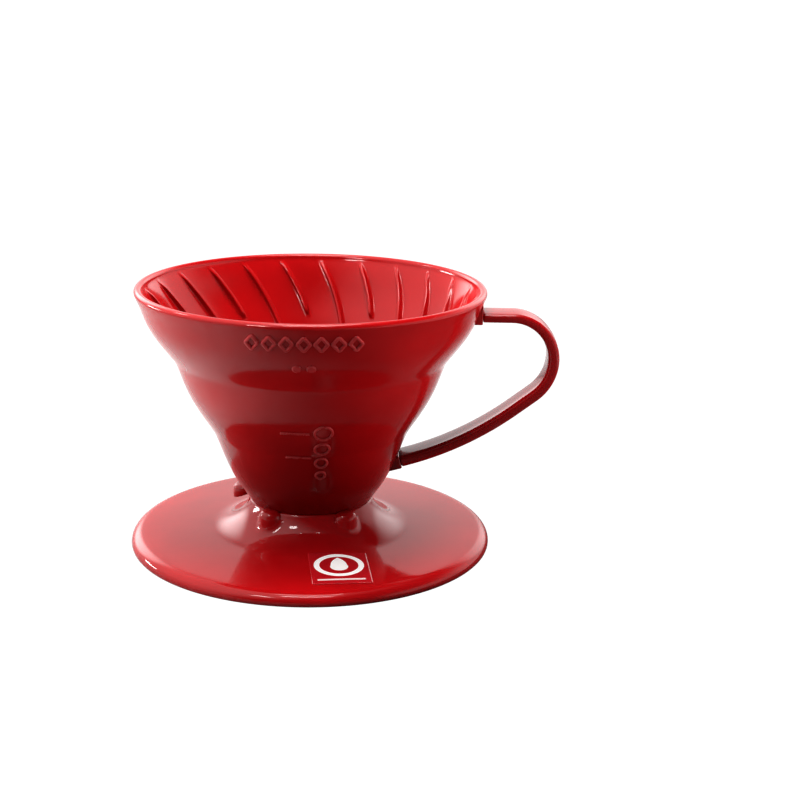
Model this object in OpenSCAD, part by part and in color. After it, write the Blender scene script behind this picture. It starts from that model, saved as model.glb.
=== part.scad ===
// Pour-over coffee dripper: a wavy cone with spiral ribs, a strap handle and a
// round base plate. Millimetres, +Z up, origin at the centre of the plane the
// base stands on, handle towards +X, front towards -Y.

/* [Base plate] */
// Outer diameter of the base plate
base_d = 100; // [96:1:108]
// Height of the plate's top face at its outer edge
edge_h = 3.6; // [3.2:0.1:4.2]
// Fall of the plate's top face from the hub to the edge, in degrees
plate_fall = 3; // [2:0.5:4]
// Radius of the concave flare between the plate and the hub
flare_r = 12.6; // [12:0.1:13.2]
// Wall of the plate, the flare and the hub
plate_wall = 2; // [1.8:0.1:2.2]
// Outer radius of the ring under the plate that drops into a cup's mouth
ring_r = 31; // [28:0.5:34]

/* [Hub joint] */
// Height of the hub's top edge, where the cone sits
hub_top = 12.7; // [12.4:0.1:13]
// Radius of the cone's spigot inside the hub
spigot_r = 15; // [14.5:0.1:15.2]
// Radial clearance between the spigot and the hub's bore
spigot_gap = 0.1; // [0.05:0.05:0.2]
// Height of the spigot's lower end above the table
spigot_z = 4; // [3:0.5:5]
// Radius of the circle the hub's bosses stand on
boss_circle_r = 17.2; // [17:0.1:17.5]
// Radius at which the single outer lug stands
lug_circle_r = 20.5; // [20:0.1:21]
// Diameter of a boss
boss_d = 6.6; // [6:0.2:6.8]
// Height of a boss's domed top above the table
boss_top = 13.3; // [13:0.1:13.5]

/* [Cone] */
// Overall height of the dripper
total_h = 72.6; // [70:0.2:76]
// Outer radius of the rim
rim_r = 47.5; // [47:0.1:48]
// Thickness of the rounded rim
rim_t = 2.2; // [2:0.1:2.4]
// Height of the waist between the upper and the middle tier
waist_hi = 52.8; // [51:0.2:54]
// Height of the waist between the middle and the lower tier
waist_lo = 32.8; // [31.5:0.2:34]
// Outer radius of the cone at height 33.5, between the tiers
waist_r = 27.3; // [27:0.1:27.6]
// Growth of the outer radius per millimetre of height, from waist to waist
wall_slope = 0.505; // [0.5:0.005:0.51]
// Bulge of the upper tier beyond the waist line
bulge_hi = 1.95; // [1.2:0.05:2.2]
// Bulge of the middle and the lower tier
bulge_lo = 1.1; // [0.6:0.05:1.4]
// Radius of the outlet
outlet_r = 9; // [8:0.25:10]

/* [Spiral ribs] */
// Number of ribs, every second one short
rib_count = 24; // [12:2:30]
// Sideways sweep of a rib below the upper tier, in degrees for each factor e of radius
rib_turn = 29; // [20:1:50]
// Sweep a rib in the upper tier tends to, in degrees
rib_swing = 26; // [20:1:32]
// Height at which the ribs start, just under the rim
rib_top = 70.8; // [69.6:0.2:71]
// Height at which the short ribs end
rib_short_end = 55.5; // [50:0.5:60]
// Width of a rib at its crest
rib_w = 0.9; // [0.7:0.1:1.2]
// Radius of the ribs' crest cone at height 0; the crest cone opens at 60 degrees
crest_r0 = 3.35; // [3.2:0.05:3.4]

/* [Handle] */
// Width of the strap
strap_w = 9.5; // [8.5:0.5:10.5]
// Thickness of the strap in its upper run
strap_t = 2.7; // [2.5:0.1:2.9]
// Thickness of the strap from its tip to its lower end
strap_t_low = 3.35; // [3:0.05:3.5]
// Height of the strap's upper run, at its middle
strap_z = 65.2; // [64.8:0.1:65.4]
// Bend radius from the upper run to the tip
bend_hi_r = 11.4; // [11:0.1:11.8]
// Bend radius from the tip to the lower run
bend_lo_r = 12.9; // [12.6:0.1:13.2]
// Reach of the strap's middle line from the dripper's axis
strap_reach = 66; // [65:0.2:67]
// Slope of the lower run, in degrees below level
run_angle = 37.5; // [37:0.5:38]
// Length of the straight lower run
run_len = 6.8; // [6.4:0.1:7.2]
// Bend radius where the lower run flattens out towards the cone
tail_r = 89; // [86:1:92]
// Width of the tenon on each strap end
tenon_w = 7; // [6:0.2:7.4]
// Thickness of the tenon on each strap end
tenon_t = 1.6; // [1.4:0.1:1.8]
// Clearance round a tenon in its socket, and at its shoulder
socket_gap = 0.1; // [0.05:0.05:0.2]

/* [Label] */
// Width of the label
label_w = 15.6; // [12:0.2:17]
// Depth of the label, hub to edge
label_d = 18.4; // [14:0.2:18.6]
// Thickness of the label
label_t = 0.12; // [0.1:0.02:0.2]

/* [Hidden] */
body_red = [0.62, 0.03, 0.05];
label_red = [0.75, 0.04, 0.07];
round_fn = 180; // facets of the large turned shapes
small_fn = 48; // facets of small circles

// ---- shared helpers ----
function polar(radius, angle) = radius * [cos(angle), sin(angle)];
function spread(from, to, steps) = [for (i = [0:steps]) from + (to - from) * i / steps];
function reversed(list) = [for (i = [len(list) - 1:-1:0]) list[i]];

// Extrudes an XZ outline along Y, centred on the XZ plane
module xz_slab(width, outline) {
    translate([0, width / 2, 0]) rotate([90, 0, 0]) linear_extrude(height = width)
        polygon(outline);
}

// A box along +X from x, centred in Y and on height z
module x_bar(x, length, width, thick, z = 0) {
    translate([x, -width / 2, z - thick / 2]) cube([length, width, thick]);
}

// ---- cone: outer wall, waist line plus three bulging tiers ----
waist_r_z = 33.5; // height at which waist_r holds
tier_top = 73.2; // height at which the upper tier's wave would close
peak_z = (waist_hi + tier_top) / 2;
wall_top = total_h - 2.4; // both walls end here, below the rim
funnel_top = 20; // the inner wall is a steeper funnel below this
funnel_low = 7;
inner_slope = 0.52;
wall_step = 1.7; // least spacing of the wall's stations in height

function hump(u) = pow(max(0, sin(180 * u)), 1.3);
// above its peak the upper bulge eases down to 64 % over 7 mm
function fade(z) = 1 - 0.36 * (1 - cos(180 * min(1, max(0, (z - peak_z) / 7)))) / 2;
function bulge(z) =
    z > peak_z ? bulge_hi * fade(z)
    : z > waist_hi ? bulge_hi * hump((z - waist_hi) / (tier_top - waist_hi))
    : z > waist_lo ? bulge_lo * hump((z - waist_lo) / (waist_hi - waist_lo))
    : bulge_lo * hump(pow(max(0, z - hub_top) / (waist_lo - hub_top), 0.75));
function outer_r(z) =
    min(waist_r + wall_slope * (z - waist_r_z) + bulge(z), rim_r - 0.05);
// the inner wall has flatter waves; its line passes radius 44.1 at height 70
function inner_line(z) = 44.1 + inner_slope * (z - 70) + 0.4 * bulge(z);
function inner_r(z) = z > funnel_top ? inner_line(z)
    : outlet_r + (inner_line(funnel_top) - outlet_r)
        * (z - funnel_low) / (funnel_top - funnel_low);

// [radius, height], outer wall upwards and inner wall downwards
outer_steps = floor((wall_top - hub_top) / wall_step);
outer_points = [for (z = spread(hub_top, wall_top, outer_steps)) [outer_r(z), z]];
inner_steps = floor((wall_top - funnel_top) / wall_step);
inner_points = [for (z = spread(wall_top, funnel_top, inner_steps)) [inner_r(z), z]];

module cone_wall() {
    lip_r = rim_t / 2;
    lip_z = total_h - lip_r;
    chamfer = 0.6;
    rotate_extrude($fn = round_fn)
        union() {
            polygon(concat(
                [[outlet_r, spigot_z], [spigot_r - chamfer, spigot_z],
                 [spigot_r, spigot_z + chamfer], [spigot_r, hub_top]],
                outer_points,
                [[rim_r, total_h - 1.6], [rim_r, lip_z], [rim_r - rim_t, lip_z]],
                inner_points,
                [[outlet_r, funnel_low]]));
            translate([rim_r - lip_r, lip_z]) circle(r = lip_r, $fn = small_fn);
        }
}

// ---- spiral ribs ----
rib_long_end = 7.4;
swing_end = 54; // the upper tier's sweep law holds above this height
root_sink = 0.5; // depth of a rib's root in the wall
root_flare = 0.35; // extra half width at the root

function crest_r(z) = crest_r0 + z * tan(30);
// turn of a rib from its upper end down to height z, in degrees
function swing(z) = rib_swing * (1 - exp((z - rib_top) / 30));
function turn(z) = z > swing_end ? swing(z)
    : swing(swing_end) + rib_turn * ln(crest_r(swing_end) / crest_r(z));
// angle that a length spans along an arc, in degrees
function arc_angle(length, radius) = length / radius * 180 / PI;

// One rib: a four-sided bar that follows the inner wall and turns as it goes
// down. Its crest lies on the crest cone and its root is sunk in the wall.
// Its upper end, and a short rib's lower end, run out almost flush with the wall.
module rib(start_angle, z_end, steps) {
    heights = spread(rib_top, z_end, steps);
    points = [for (i = [0:steps])
        let (z = heights[i],
             flush = i == 0 || (i == steps && z_end > funnel_top),
             crest = flush ? inner_r(z) - 0.02 : crest_r(z),
             root = inner_r(z) + root_sink,
             angle = start_angle - turn(z),
             half_crest = arc_angle(rib_w / 2, crest),
             half_root = arc_angle(rib_w / 2 + root_flare, root))
        each [[each polar(root, angle - half_root), z],
              [each polar(crest, angle - half_crest), z],
              [each polar(crest, angle + half_crest), z],
              [each polar(root, angle + half_root), z]]];
    sides = [for (i = [0:steps - 1]) for (j = [0:3])
        let (this = 4 * i + j, next = 4 * i + (j + 1) % 4)
        each [[next, this, this + 4], [next, this + 4, next + 4]]];
    last = 4 * steps;
    polyhedron(points = points, faces = concat(
        [[0, 1, 2], [0, 2, 3]],
        [[last + 2, last + 1, last], [last + 3, last + 2, last]],
        sides));
}

module ribs() {
    for (i = [0:rib_count - 1])
        rib(start_angle = 90 - i * 360 / rib_count,
            z_end = i % 2 == 0 ? rib_long_end : rib_short_end,
            steps = i % 2 == 0 ? 12 : 4);
}

// ---- handle: one flat strap bent in the XZ plane ----
block_x = 46.4; // outer face of the upper end block
tail_sweep = 22.1; // angle of the last bend, in degrees
tail_angle = run_angle - tail_sweep;
// bend centres and ends of the straight lower run, as [x, z]
bend_hi_c = [strap_reach - bend_hi_r, strap_z - bend_hi_r];
bend_lo_c = [strap_reach - bend_lo_r, strap_z - bend_hi_r];
run_start = bend_lo_c + polar(bend_lo_r, run_angle - 90);
run_end = run_start - polar(run_len, run_angle);
tail_c = run_end - polar(tail_r, run_angle - 90);
tail_end = tail_c + polar(tail_r, tail_angle - 90);

// middle line of the strap as [x, z, direction of the outward normal]
function bend(centre, radius, angles) =
    [for (a = angles) [each centre + polar(radius, a), a]];
strap_path = concat(
    [[block_x + socket_gap, strap_z, 90]],
    bend(bend_hi_c, bend_hi_r, [90:-6:0]),
    bend(bend_lo_c, bend_lo_r, [for (i = [1:9]) (run_angle - 90) * i / 9]),
    bend(tail_c, tail_r, spread(run_angle - 90, tail_angle - 90, 6)));

// half the strap's thickness by its outward normal; it grows round the upper bend
function half_t(normal) =
    (strap_t + (strap_t_low - strap_t) * min(1, (90 - normal) / 90)) / 2;
// one face of the strap: side 1 is the outer, -1 the inner
function strap_face(side) =
    [for (p = strap_path) [p[0], p[1]] + side * polar(half_t(p[2]), p[2])];

// Places its children at the strap's lower end, with -X running on into the cone
module at_tail() {
    translate([tail_end[0], 0, tail_end[1]]) rotate([0, -tail_angle, 0]) children();
}

// Tenons on the strap's two ends, with clearance gap for their sockets
module tenons(gap) {
    reach = 2; // into the block
    length = 3.5 + gap;
    width = tenon_w + 2 * gap;
    thick = tenon_t + 2 * gap;
    x_bar(block_x - reach - gap, length, width, thick, strap_z);
    at_tail() x_bar(-reach - gap, length, width, thick);
}

// Blocks on the cone that hold the strap's two ends
module end_blocks() {
    width = 9.8;
    upper_x = 43;
    tail_len = 5.5;
    cut_low = 10;
    cut_top = 74;
    difference() {
        union() {
            x_bar(upper_x, block_x - upper_x, width, thick = 7.2, z = 67);
            at_tail() x_bar(-tail_len - socket_gap, tail_len, width, thick = 3.6);
        }
        // the blocks stop within the cone's wall, 0.8 outside its inner face
        rotate_extrude($fn = round_fn) polygon(concat(
            [[0, cut_low]],
            [for (z = [cut_low:2:cut_top])
                [inner_r(max(z, funnel_top)) - inner_slope * max(0, funnel_top - z) + 0.8, z]],
            [[0, cut_top]]));
    }
}

module cone_body() {
    color(body_red) difference() {
        union() {
            cone_wall();
            ribs();
            end_blocks();
        }
        tenons(socket_gap);
    }
}

module handle() {
    color(body_red) union() {
        xz_slab(strap_w, concat(strap_face(1), reversed(strap_face(-1))));
        tenons(0);
    }
}

// ---- base plate ----
base_r = base_d / 2;
flare_c = [28.7, edge_h + 1 + flare_r]; // centre of the flare, [radius, height]
flat_start = flare_c - polar(flare_r, 90 - plate_fall);
hub_r = flare_c[0] - sqrt(pow(flare_r, 2) - pow(flare_c[1] - hub_top, 2));
hub_low = 6; // lower end of the hub's bore wall
bore_r = spigot_r + spigot_gap;

function plate_top(r) = flat_start[1] - (r - flat_start[0]) * tan(plate_fall);
function plate_under(r) = plate_top(r) - plate_wall;
// arc of the flare down to the plate; it leaves out its start point at height z_start
function flare_arc(radius, z_start) =
    let (start = asin((flare_c[1] - z_start) / radius))
    [for (i = [1:10]) flare_c - polar(radius, start + (90 - plate_fall - start) * i / 10)];

module plate_section() {
    edge_w = 3; // width of the rounded edge
    edge_low = 0.9; // height at which the rounding ends
    edge_x = base_r - edge_w;
    edge_z = plate_top(edge_x);
    ring_in = ring_r - 1.6;
    chamfer = 0.4;
    polygon(concat(
        [[bore_r, hub_low], [bore_r, hub_top], [hub_r, hub_top]],
        flare_arc(flare_r, hub_top),
        [[edge_x, edge_z]],
        [for (i = [1:6]) let (a = 90 - 15 * i)
            [edge_x + edge_w * cos(a), edge_low + (edge_z - edge_low) * sin(a)]],
        // foot of the edge
        [[base_r - 0.5, 0], [base_r - 2.2, 0], [base_r - 2.6, edge_z - plate_wall - 0.1]],
        // ring under the plate
        [[ring_r, plate_under(ring_r)], [ring_r, 0], [ring_in + chamfer, 0],
         [ring_in, chamfer], [ring_in, plate_under(ring_in)]],
        reversed(flare_arc(flare_r + plate_wall, 11)),
        [[bore_r + 1.7, hub_low]]));
}

// Places of the bosses round the hub, in degrees from the front (-Y) towards +X
boss_angles = [-35.5, 35.5, 144.5];

module boss() {
    dome = 1.6;
    foot = 6.5;
    flat_r = boss_d / 2 - dome;
    rotate_extrude($fn = 60) union() {
        translate([0, foot]) square([boss_d / 2, boss_top - foot - dome]);
        translate([0, foot]) square([flat_r, boss_top - foot]);
        translate([flat_r, boss_top - dome]) circle(r = dome, $fn = small_fn);
    }
}

// A lug that stands out from the hub's top, opposite the handle and a little behind it.
// Its underside slopes up to the hub, clear of the flare.
module lug() {
    bridge_x = 15.6;
    bridge_w = 5.2;
    rotate(160) intersection() {
        union() {
            translate([lug_circle_r, 0, 0]) boss();
            translate([bridge_x, -bridge_w / 2, 6])
                cube([lug_circle_r - bridge_x, bridge_w, 6.5]);
        }
        xz_slab(8, [[15.4, 12], [24, 8.9], [24, 14], [15.4, 14]]);
    }
}

module base_plate() {
    color(body_red) difference() {
        union() {
            rotate_extrude($fn = round_fn) plate_section();
            for (a = boss_angles)
                translate([boss_circle_r * sin(a), -boss_circle_r * cos(a), 0]) boss();
            lug();
        }
        // the bosses stay out of the bore and clear of the cone's seat
        translate([0, 0, 5]) cylinder(r = bore_r, h = 12, $fn = round_fn);
        translate([0, 0, hub_top]) cylinder(r = hub_r + 0.4, h = 4, $fn = round_fn);
    }
}

// ---- label: a thin film just above the plate's top face ----
label_c = [9.5, -33.5]; // centre, [x, y]
label_turn = 7.5;
label_lift = 0.04; // gap between the plate and the film
// radii of the film's stations: close together on the flare, then the outer end
label_radii = concat([for (i = [0:8]) 23.4 + 0.6 * i], [46.9]);

function surface_z(r) = r < flat_start[0]
    ? flare_c[1] - sqrt(pow(flare_r, 2) - pow(flare_c[0] - r, 2)) : plate_top(r);
function film_face(lift) = [for (r = label_radii) [r, surface_z(r) + lift]];

module label() {
    color(label_red) intersection() {
        rotate_extrude($fn = round_fn) polygon(concat(
            film_face(label_lift), reversed(film_face(label_lift + label_t))));
        translate([label_c[0], label_c[1], 0]) rotate(label_turn)
            translate([-label_w / 2, -label_d / 2, 0]) cube([label_w, label_d, 12]);
    }
}

cone_body();
handle();
base_plate();
label();
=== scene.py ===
"""A red plastic cone on a round base plate, with a strap handle and a printed label.

The cone's axis is the Z axis and the plate stands on z = 0. The handle points to +X. The front, with
the label and the relief marks, faces -Y, where the camera is. Lengths are in millimetres unless a
comment says otherwise; add_mesh turns them into metres.
"""
import math

import bmesh
import bpy
import numpy as np
from mathutils import Matrix, Vector


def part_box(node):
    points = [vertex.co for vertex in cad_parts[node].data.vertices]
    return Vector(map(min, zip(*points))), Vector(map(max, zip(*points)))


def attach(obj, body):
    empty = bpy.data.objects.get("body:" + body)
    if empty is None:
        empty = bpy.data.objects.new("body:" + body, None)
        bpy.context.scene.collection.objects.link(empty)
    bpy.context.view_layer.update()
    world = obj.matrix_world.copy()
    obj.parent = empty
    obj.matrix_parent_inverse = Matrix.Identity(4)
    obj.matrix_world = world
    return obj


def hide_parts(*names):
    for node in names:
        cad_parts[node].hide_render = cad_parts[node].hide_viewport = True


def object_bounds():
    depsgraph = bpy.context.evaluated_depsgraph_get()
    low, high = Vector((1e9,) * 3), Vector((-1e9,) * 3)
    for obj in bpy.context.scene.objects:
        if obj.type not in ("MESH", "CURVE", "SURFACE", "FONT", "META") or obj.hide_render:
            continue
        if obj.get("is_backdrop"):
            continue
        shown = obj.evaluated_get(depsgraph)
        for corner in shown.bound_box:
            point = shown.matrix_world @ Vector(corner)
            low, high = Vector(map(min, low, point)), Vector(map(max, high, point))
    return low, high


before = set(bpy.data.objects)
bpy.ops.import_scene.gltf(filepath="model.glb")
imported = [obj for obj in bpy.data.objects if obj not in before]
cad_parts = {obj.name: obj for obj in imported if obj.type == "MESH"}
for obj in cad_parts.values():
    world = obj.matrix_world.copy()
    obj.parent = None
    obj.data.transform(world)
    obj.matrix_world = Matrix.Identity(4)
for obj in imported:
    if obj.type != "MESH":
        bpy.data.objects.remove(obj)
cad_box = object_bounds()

MM = 0.001
TAU = 2 * math.pi
QUARTER = math.pi / 2

# ---------------------------------------------------------------- shared sizes
PLATE_LO, PLATE_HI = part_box("base_plate")
_, CONE_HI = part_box("cone_body")
STRAP_LO, STRAP_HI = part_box("handle")
BASE_R = (PLATE_HI.x - PLATE_LO.x) / 2 / MM
TOTAL_H = CONE_HI.z / MM
HUB_TOP = 12.7                     # top of the plate's hub, where the cone sits
SPIGOT_R = 15.0                    # the cone's foot, inside the hub's bore
SPIGOT_Z = 4.0


# ---------------------------------------------------------------- mesh helpers
def add_mesh(name, points, faces, smooth=True):
    """A mesh object from points in millimetres, with its normals made consistent."""
    mesh = bpy.data.meshes.new(name)
    mesh.from_pydata([tuple(float(c) * MM for c in point) for point in points], [],
                     [tuple(int(i) for i in face) for face in faces])
    mesh.validate(verbose=False)
    mesh.update()
    work = bmesh.new()
    work.from_mesh(mesh)
    bmesh.ops.recalc_face_normals(work, faces=work.faces)
    work.to_mesh(mesh)
    work.free()
    if smooth:
        mesh.polygons.foreach_set("use_smooth", [True] * len(mesh.polygons))
    obj = bpy.data.objects.new(name, mesh)
    bpy.context.scene.collection.objects.link(obj)
    return obj


def grid_faces(rows, cols, wrap_rows=False, wrap_cols=True, start=0):
    """Quads of a rows by cols grid of points."""
    faces = []
    for i in range(rows if wrap_rows else rows - 1):
        row = start + i * cols
        next_row = start + (i + 1) % rows * cols
        for j in range(cols if wrap_cols else cols - 1):
            k = (j + 1) % cols
            faces.append((row + j, row + k, next_row + k, next_row + j))
    return faces


def end_caps(rows, cols):
    """One flat face over the first ring and one over the last."""
    last = (rows - 1) * cols
    return [tuple(range(cols)), tuple(last + j for j in reversed(range(cols)))]


def fan_shell(points, cols, top_centre, bottom_centre):
    """A shell of rings, closed by a fan of triangles over the last ring and under the first."""
    rows, count = len(points) // cols, len(points)
    last = (rows - 1) * cols
    faces = grid_faces(rows, cols)
    for j in range(cols):
        k = (j + 1) % cols
        faces.append((last + j, last + k, count))
        faces.append((j, count + 1, k))
    return np.concatenate([points, [top_centre], [bottom_centre]]), faces


def join(parts):
    """Several (points, faces) pairs as one."""
    points, faces, count = [], [], 0
    for part_points, part_faces in parts:
        points.append(part_points)
        faces += [tuple(i + count for i in face) for face in part_faces]
        count += len(part_points)
    return np.concatenate(points), faces


def level_ring(radius, angles, z):
    """Points round the Z axis at one height; radius may vary round the ring."""
    return np.stack([radius * np.cos(angles), radius * np.sin(angles), np.full(len(angles), z)], 1)


def revolve(profile, segments):
    """A closed (radius, z) profile turned round the Z axis."""
    angles = np.arange(segments) * TAU / segments
    rings = [level_ring(radius, angles, z) for radius, z in profile]
    return np.concatenate(rings), grid_faces(len(rings), segments, wrap_rows=True)


def resample(points, step):
    """The polyline with points no further apart than step."""
    out = [np.array(points[0], float)]
    for start, end in zip(points[:-1], points[1:]):
        start, end = np.array(start, float), np.array(end, float)
        pieces = max(1, int(math.ceil(np.linalg.norm(end - start) / step)))
        for k in range(1, pieces + 1):
            out.append(start + (end - start) * k / pieces)
    return np.array(out)


def arc(centre, radius, start, end, steps):
    """Points of an arc, angles in degrees."""
    angles = [math.radians(start + (end - start) * i / steps) for i in range(steps + 1)]
    return [(centre[0] + radius * math.cos(angle), centre[1] + radius * math.sin(angle))
            for angle in angles]


def round_outline(corners, radii, steps):
    """A closed outline whose corners become arcs of the given radii (0 keeps a corner)."""
    out = []
    count = len(corners)
    for i, radius in enumerate(radii):
        corner = np.array(corners[i], float)
        if radius <= 0:
            out.append(corner)
            continue
        before = np.array(corners[(i - 1) % count], float) - corner
        after = np.array(corners[(i + 1) % count], float) - corner
        before_len, after_len = np.linalg.norm(before), np.linalg.norm(after)
        before, after = before / before_len, after / after_len
        half = math.acos(max(-1, min(1, float(before @ after)))) / 2
        # the arc may use up no more than about half of either side
        setback = min(radius / math.tan(half), before_len * 0.49, after_len * 0.49)
        radius = setback * math.tan(half)
        middle = (before + after) / np.linalg.norm(before + after)
        centre = corner + middle * (radius / math.sin(half))
        first = corner + before * setback - centre
        last = corner + after * setback - centre
        angle = math.atan2(first[1], first[0])
        sweep = math.atan2(last[1], last[0]) - angle
        sweep = (sweep + math.pi) % TAU - math.pi
        for k in range(steps + 1):
            turn = angle + sweep * k / steps
            out.append(centre + radius * np.array([math.cos(turn), math.sin(turn)]))
    return out


def smooth01(t):
    """Eased step from 0 to 1."""
    t = np.clip(t, 0, 1)
    return t * t * (3 - 2 * t)


# ---------------------------------------------------------------- cone wall
# the wall bulges between waists: hub to low waist, low to high waist, high waist to the top
WAIST_HI, WAIST_LO, BULGE_TOP = 52.8, 32.8, 73.2
BULGE_HI, BULGE_MID, BULGE_LO = 1.95, 1.1, 1.1
BULGE_PEAK = (WAIST_HI + BULGE_TOP) / 2
PEAK_FADE, PEAK_FADE_H = 0.36, 7   # share the top bulge loses above its peak, and over what height
OUTLET_R = 9.0
INNER_CONE_Z = 20.0                # below this the inside narrows straight to the outlet


def hump(u):
    return np.maximum(0.0, np.sin(np.pi * np.clip(u, 0, 1))) ** 1.3


def bulge(z):
    """How far the wall swells beyond its straight cone."""
    z = np.asarray(z, float)
    past_peak = np.clip((z - BULGE_PEAK) / PEAK_FADE_H, 0, 1)
    fade = 1 - PEAK_FADE * (1 - np.cos(np.pi * past_peak)) / 2
    rise = hump((z - WAIST_HI) / (BULGE_TOP - WAIST_HI))
    high = BULGE_HI * np.where(z > BULGE_PEAK, fade, rise)
    middle = BULGE_MID * hump((z - WAIST_LO) / (WAIST_HI - WAIST_LO))
    low = BULGE_LO * hump(np.clip((z - HUB_TOP) / (WAIST_LO - HUB_TOP), 0, 1) ** 0.75)
    return np.where(z > WAIST_HI, high, np.where(z > WAIST_LO, middle, low))


def inner_wall(z):
    return 44.1 + 0.52 * (z - 70) + 0.4 * bulge(z)


WALL_STEP = 0.05
WALL_Z = np.linspace(8.0, 74.0, 1321)


def blurred(radii, reach, sigma):
    """Radii on WALL_Z after a Gaussian blur; reach is in samples, sigma in mm."""
    kernel = np.exp(-0.5 * (np.arange(-reach, reach + 1) * WALL_STEP / sigma) ** 2)
    kernel /= kernel.sum()
    padded = np.pad(radii, reach, mode="reflect", reflect_type="odd")
    return np.convolve(padded, kernel, mode="valid")


OUTER_RADII = blurred(27.3 + 0.505 * (WALL_Z - 33.5) + bulge(WALL_Z), reach=24, sigma=0.45)
FUNNEL = OUTLET_R + (inner_wall(INNER_CONE_Z) - OUTLET_R) * (WALL_Z - 7) / 13
INNER_RADII = blurred(np.where(WALL_Z > INNER_CONE_Z, inner_wall(WALL_Z), FUNNEL),
                      reach=60, sigma=1.1)


def outer_r(z):
    return np.interp(z, WALL_Z, OUTER_RADII)


def inner_r(z):
    return np.interp(z, WALL_Z, INNER_RADII)


# ---------------------------------------------------------------- ribs inside the cone
RIB_COUNT = 24                     # long and short ribs by turns
RIB_PITCH = math.radians(15)
RIB_TOP, RIB_START_FADE = 70.8, 2.8
SHORT_END, SHORT_FADE = 55.5, 2.6
LONG_END, LONG_FADE = 5.0, 1.1
TURN_Z = 54.0                      # the ribs' curve changes its law here
RIB_TURN, RIB_SWING, SWING_H = 29.0, 26.0, 30
RIB_MAX_SHARE = 0.36               # most of a pitch that half a rib may take
FILL = 5                           # points between two ribs
# half a rib's section: offset from its middle, share of its height
RIB_HALF = [(1.35, 0.0), (1.0, 0.035), (0.78, 0.16), (0.62, 0.5), (0.5, 0.8), (0.38, 0.95),
            (0.2, 0.995)]
RIB_SECTION = [(-x, share) for x, share in RIB_HALF] + [(0.0, 1.0)] + RIB_HALF[::-1]
RIB_HALF_W = RIB_SECTION[-1][0]
SECTOR = len(RIB_SECTION) + FILL   # points in one pitch


def crest_r(z):
    """Radius of the straight 30 degree cone that the ribs' crests lie on."""
    return 3.35 + z * math.tan(math.radians(30))


def rib_turn(z):
    """Turn of a rib from its upper end down to height z, in degrees."""
    swing = RIB_SWING * (1 - math.exp((max(z, TURN_Z) - RIB_TOP) / SWING_H))
    if z > TURN_Z:
        return swing
    return swing + RIB_TURN * math.log(crest_r(TURN_Z) / crest_r(z))


def rib_angles(radius, z):
    """Angles of one ring's points: ribs keep their pitch and, where there is room, their width."""
    z = min(max(z, LONG_END), RIB_TOP)
    turn = -math.radians(rib_turn(z))
    half = RIB_HALF_W / radius
    scale = min(1.0, RIB_PITCH * RIB_MAX_SHARE / half)
    out = []
    for k in range(RIB_COUNT):
        middle = k * RIB_PITCH + turn
        out += [middle + x / radius * scale for x, _ in RIB_SECTION]
        start = middle + half * scale
        end = middle + RIB_PITCH - half * scale
        out += [start + (end - start) * (j + 1) / (FILL + 1) for j in range(FILL)]
    return np.array(out)


# ---------------------------------------------------------------- cone
RIM_R, RIM_T = 47.5, 2.2


def cone_outside():
    """Outline (radius, z) from the spigot's foot up the outside and over the rim."""
    seat_r = float(outer_r(HUB_TOP + 0.5))
    outline = [(SPIGOT_R - 0.5, SPIGOT_Z), (SPIGOT_R - 0.15, SPIGOT_Z + 0.1),
               (SPIGOT_R, SPIGOT_Z + 0.5), (SPIGOT_R, 8.0), (SPIGOT_R, HUB_TOP - 0.1),
               (SPIGOT_R + 0.1, HUB_TOP), (seat_r - 0.75, HUB_TOP),
               (seat_r - 0.35, HUB_TOP + 0.03), (seat_r - 0.1, HUB_TOP + 0.2)]
    outline += [(float(outer_r(z)), float(z))
                for z in np.arange(HUB_TOP + 0.5, TOTAL_H - RIM_T, 0.55)]
    lip = RIM_T / 2
    return outline + arc((RIM_R - lip, TOTAL_H - lip), lip, -22, 180, 20)


def cone_inside():
    """Outline (radius, z) from below the rim down the inside to the outlet's lower edge."""
    lip = RIM_T / 2
    heights = np.concatenate([np.arange(TOTAL_H - lip - 0.5, INNER_CONE_Z, -0.55),
                              np.arange(INNER_CONE_Z, 8.0, -0.5)])
    outline = [(float(min(inner_r(z), RIM_R - 2 * lip + 0.02)), float(z)) for z in heights]
    # outlet: (radius beyond OUTLET_R, z)
    outlet = [(0.32, 7.5), (0.12, 7.1), (0.02, 6.7), (0, 6.3), (0, 5.8), (0, 5.3), (0, 4.8),
              (0.05, 4.35), (0.2, 4.1)]
    return outline + [(OUTLET_R + extra, z) for extra, z in outlet]


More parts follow.
